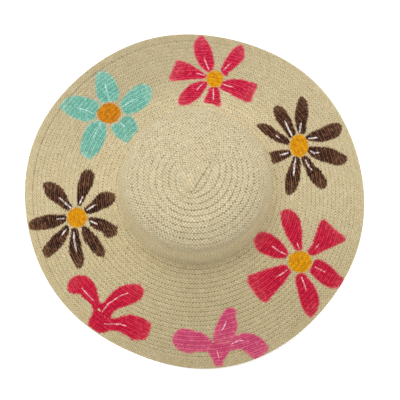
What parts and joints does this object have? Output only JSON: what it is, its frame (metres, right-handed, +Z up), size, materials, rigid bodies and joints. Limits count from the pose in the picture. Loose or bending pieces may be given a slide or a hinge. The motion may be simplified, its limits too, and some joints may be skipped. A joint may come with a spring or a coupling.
{
  "type": "sun hat",
  "caption": "Wide-brim sun hat of spiral-sewn paper straw braid with a low round crown, waved brim, hand-painted flowers on the brim and a sweatband with a size cord.",
  "frame": {"origin": "centre of the bounding box at the level where the brim edge rests", "axes": "+Z up through the crown's top; +Y towards the back, where the sweatband's ends meet and the size cord comes out; +X towards the wearer's left when the back faces away"},
  "size_m": [0.423, 0.4242, 0.1369],
  "materials": {
    "straw_tip": "matte braided paper straw",
    "straw": "matte braided paper straw",
    "straw_hem": "matte braided paper straw, folded",
    "wire": "plain drawn wire",
    "sleeve": "crimped sleeve",
    "sweatband": "plain woven cotton tape",
    "patch": "plain woven cotton",
    "thread": "spun thread",
    "cord": "round cotton cord",
    "stopper": "smooth turned wood",
    "label": "blank satin ribbon",
    "paint_turquoise": "brushed water-based paint",
    "paint_turquoise_disc": "brushed water-based paint",
    "paint_crimson": "brushed water-based paint",
    "paint_crimson_disc": "brushed water-based paint",
    "paint_brown_right": "brushed water-based paint",
    "paint_brown_right_disc": "brushed water-based paint",
    "paint_brown_left": "brushed water-based paint",
    "paint_brown_left_disc": "brushed water-based paint",
    "paint_red": "brushed water-based paint",
    "paint_red_disc": "brushed water-based paint",
    "paint_red_sprig": "brushed water-based paint",
    "paint_pink_sprig": "brushed water-based paint"
  },
  "bodies": {
    "hat_shell": {"crown_tip_braid": "straw_tip", "crown_side_braid": "straw", "brim_braid": "straw", "brim_edge_hem": "straw_hem", "brim_edge_wire": "wire", "wire_joiner_sleeve": "sleeve", "sweatband": "sweatband", "sweatband_join_patch": "patch", "sweatband_stitching": "thread", "drawcord": "cord", "turquoise_petal_1": "paint_turquoise", "turquoise_petal_2": "paint_turquoise", "turquoise_petal_3": "paint_turquoise", "turquoise_petal_4": "paint_turquoise", "turquoise_petal_5": "paint_turquoise", "turquoise_disc": "paint_turquoise_disc", "crimson_petal_1": "paint_crimson", "crimson_petal_2": "paint_crimson", "crimson_petal_3": "paint_crimson", "crimson_petal_4": "paint_crimson", "crimson_petal_5": "paint_crimson", "crimson_petal_6": "paint_crimson", "crimson_disc": "paint_crimson_disc", "brown_right_petal_1": "paint_brown_right", "brown_right_petal_2": "paint_brown_right", "brown_right_petal_3": "paint_brown_right", "brown_right_petal_4": "paint_brown_right", "brown_right_petal_5": "paint_brown_right", "brown_right_petal_6": "paint_brown_right", "brown_right_petal_7": "paint_brown_right", "brown_right_petal_8": "paint_brown_right", "brown_right_disc": "paint_brown_right_disc", "brown_left_petal_1": "paint_brown_left", "brown_left_petal_2": "paint_brown_left", "brown_left_petal_3": "paint_brown_left", "brown_left_petal_4": "paint_brown_left", "brown_left_petal_5": "paint_brown_left", "brown_left_petal_6": "paint_brown_left", "brown_left_petal_7": "paint_brown_left", "brown_left_petal_8": "paint_brown_left", "brown_left_disc": "paint_brown_left_disc", "red_petal_1": "paint_red", "red_petal_2": "paint_red", "red_petal_3": "paint_red", "red_petal_4": "paint_red", "red_petal_5": "paint_red", "red_petal_6": "paint_red", "red_disc": "paint_red_disc", "red_sprig_leaf_1": "paint_red_sprig", "red_sprig_leaf_2": "paint_red_sprig", "red_sprig_leaf_3": "paint_red_sprig", "red_sprig_stem": "paint_red_sprig", "pink_sprig_leaf_1": "paint_pink_sprig", "pink_sprig_leaf_2": "paint_pink_sprig", "pink_sprig_leaf_3": "paint_pink_sprig", "pink_sprig_stem": "paint_pink_sprig"},
    "label": {"care_label": "label"},
    "stopper": {"cord_stopper": "stopper"}
  },
  "joints": [
    {"name": "label_fold", "type": "hinge", "parent": "hat_shell", "child": "label", "pos_m": [-0.04405, 0.07042, 0.07528], "axis": [-0.8386, -0.5444, 0.0204], "range_deg": [0, 110]},
    {"name": "stopper_slide", "type": "slide", "parent": "hat_shell", "child": "stopper", "axis": [0.0103, 0.0216, 0.9997], "range_m": [0, 0.013]}
  ]
}
